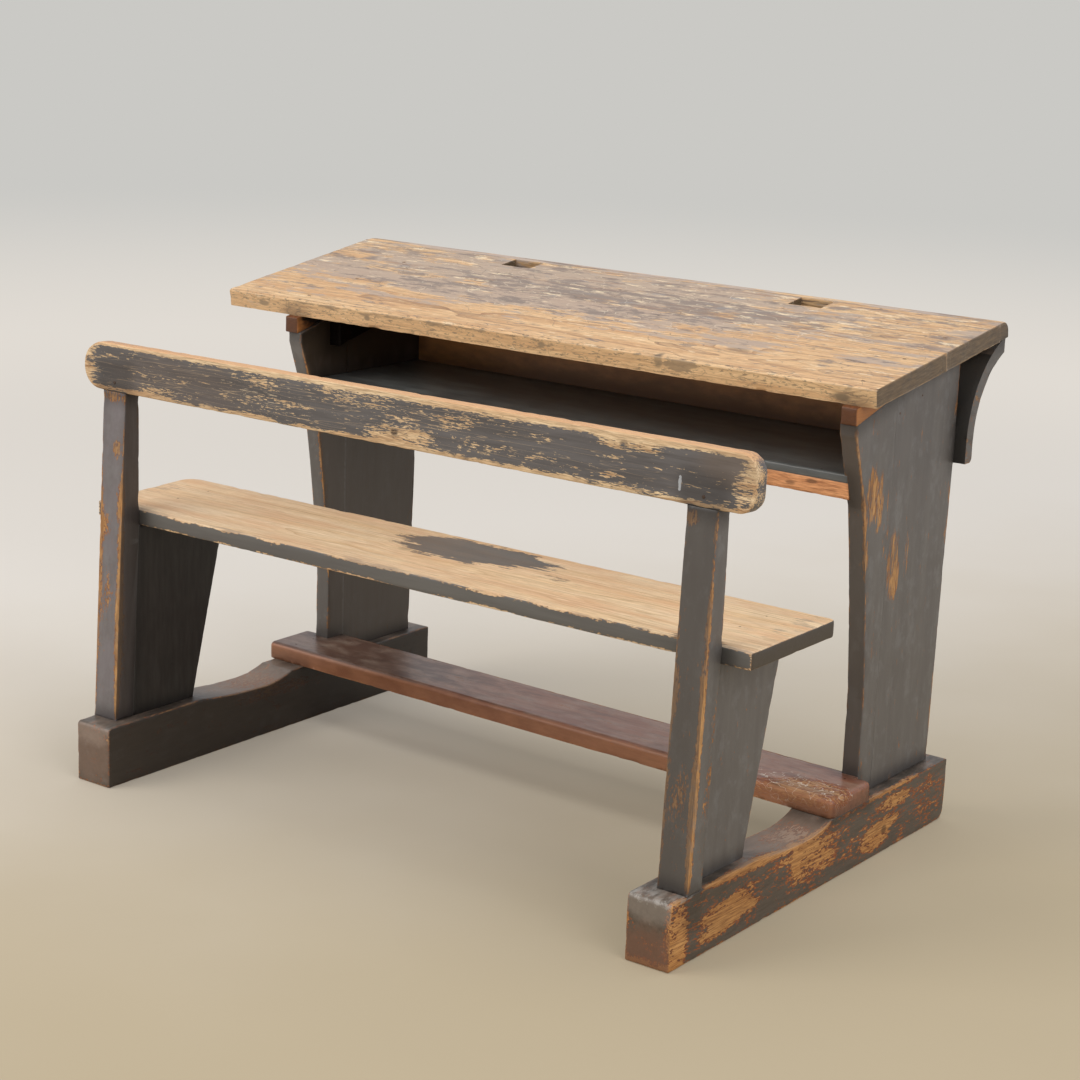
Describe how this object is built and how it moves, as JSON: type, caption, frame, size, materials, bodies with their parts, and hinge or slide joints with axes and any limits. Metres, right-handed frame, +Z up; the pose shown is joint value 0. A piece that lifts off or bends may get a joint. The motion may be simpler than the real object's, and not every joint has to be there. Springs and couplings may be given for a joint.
{
  "type": "school desk",
  "caption": "Double school desk: bench with back rail and a sloping fixed top over an open book compartment, joined by floor runners and a footrest.",
  "frame": {"origin": "on the floor, under the middle of the whole desk's box", "axes": "+X to the right of someone sitting on the bench, +Y forward from the bench to the desk's rear edge, +Z up"},
  "size_m": [1.283, 0.8532, 0.7619],
  "materials": {
    "worn_grey_paint": "matt grey paint worn through to bare pine on the arrises",
    "seat_pine": "bare scrubbed pine on top, worn grey paint on the edges",
    "desktop_pine": "bare worn pine with grey and purple-brown residue of old paint",
    "footworn_pine": "brown stained pine worn and dusty from feet",
    "oiled_pine": "bare pine darkened to orange-brown",
    "dark_shelf": "nearly black old paint, matt",
    "peg_wood": "dark hardwood end grain",
    "nail_steel": "dull rusty steel"
  },
  "bodies": {
    "root": {"left_runner": "worn_grey_paint", "left_bench_board": "worn_grey_paint", "left_bench_post": "worn_grey_paint", "left_desk_end_front": "worn_grey_paint", "left_desk_end_rear": "worn_grey_paint", "left_top_wedge": "oiled_pine", "left_top_cleat": "oiled_pine", "left_bench_pegs": "peg_wood", "left_cleat_nails": "nail_steel", "right_runner": "worn_grey_paint", "right_bench_board": "worn_grey_paint", "right_bench_post": "worn_grey_paint", "right_desk_end_front": "worn_grey_paint", "right_desk_end_rear": "worn_grey_paint", "right_top_wedge": "oiled_pine", "right_top_cleat": "oiled_pine", "right_bench_pegs": "peg_wood", "right_cleat_nails": "nail_steel", "seat_plank": "seat_pine", "backrest_rail": "worn_grey_paint", "footrest_board": "footworn_pine", "shelf_board": "dark_shelf", "shelf_front_strip": "oiled_pine", "back_panel": "worn_grey_paint", "top_front_board": "desktop_pine", "top_rear_board": "desktop_pine", "top_rear_strip": "desktop_pine", "seat_nails": "nail_steel", "footrest_nails": "nail_steel", "shelf_nails": "nail_steel", "back_panel_nails": "nail_steel", "top_nails": "nail_steel", "rail_pins": "peg_wood"}
  },
  "joints": []
}
